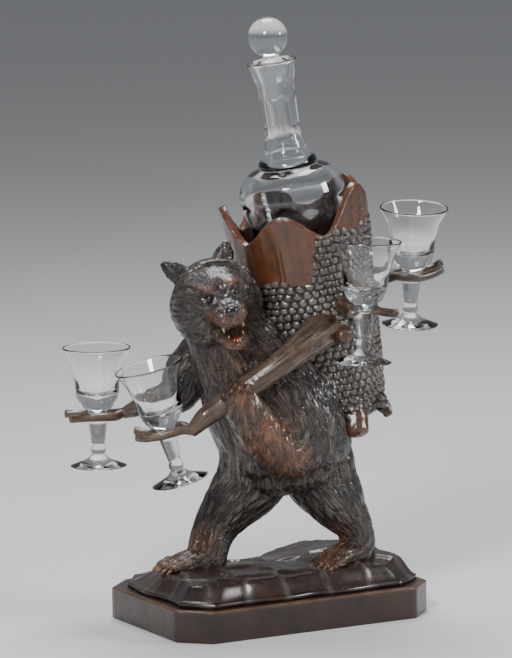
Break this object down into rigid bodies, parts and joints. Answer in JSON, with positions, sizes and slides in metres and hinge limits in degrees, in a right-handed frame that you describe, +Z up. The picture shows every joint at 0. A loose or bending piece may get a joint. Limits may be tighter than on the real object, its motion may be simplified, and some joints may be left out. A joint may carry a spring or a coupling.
{
  "type": "carved bear decanter stand",
  "caption": "Carved wooden bear on a chamfered plinth, carrying a hollow tree trunk that holds a glass decanter, with twig forks that hold stemmed liqueur glasses.",
  "frame": {"origin": "centre of the plinth's flat underside", "axes": "+Z up, X along the plinth's long side with the bear striding towards -X, and the side that the bear's face looks out of towards -Y"},
  "size_m": [0.2996, 0.2208, 0.5002],
  "materials": {
    "plinth_wood": "dark stained walnut, waxed, worn along its edges",
    "carved_wood": "dark stained limewood with carved fur, waxed, ridges worn paler and warmer",
    "eye_glass": "polished dark glass",
    "bark_wood": "carved bark, stained and waxed, with bare red-brown wood below the rim",
    "twig_wood": "carved twigs with bark ridges and cut ends",
    "clear_glass": "clear blown and cut glass with engraved leaf sprays"
  },
  "bodies": {
    "root": {"plinth": "plinth_wood", "bear": "carved_wood", "eye_left": "eye_glass", "eye_right": "eye_glass", "trunk": "bark_wood", "back_left_limb": "twig_wood", "front_left_limb": "twig_wood", "front_right_fork": "twig_wood", "right_fork": "twig_wood", "decanter": "clear_glass", "stopper": "clear_glass", "goblet_back_left": "clear_glass", "goblet_front_left": "clear_glass", "goblet_front_right": "clear_glass", "goblet_right": "clear_glass"}
  },
  "joints": []
}
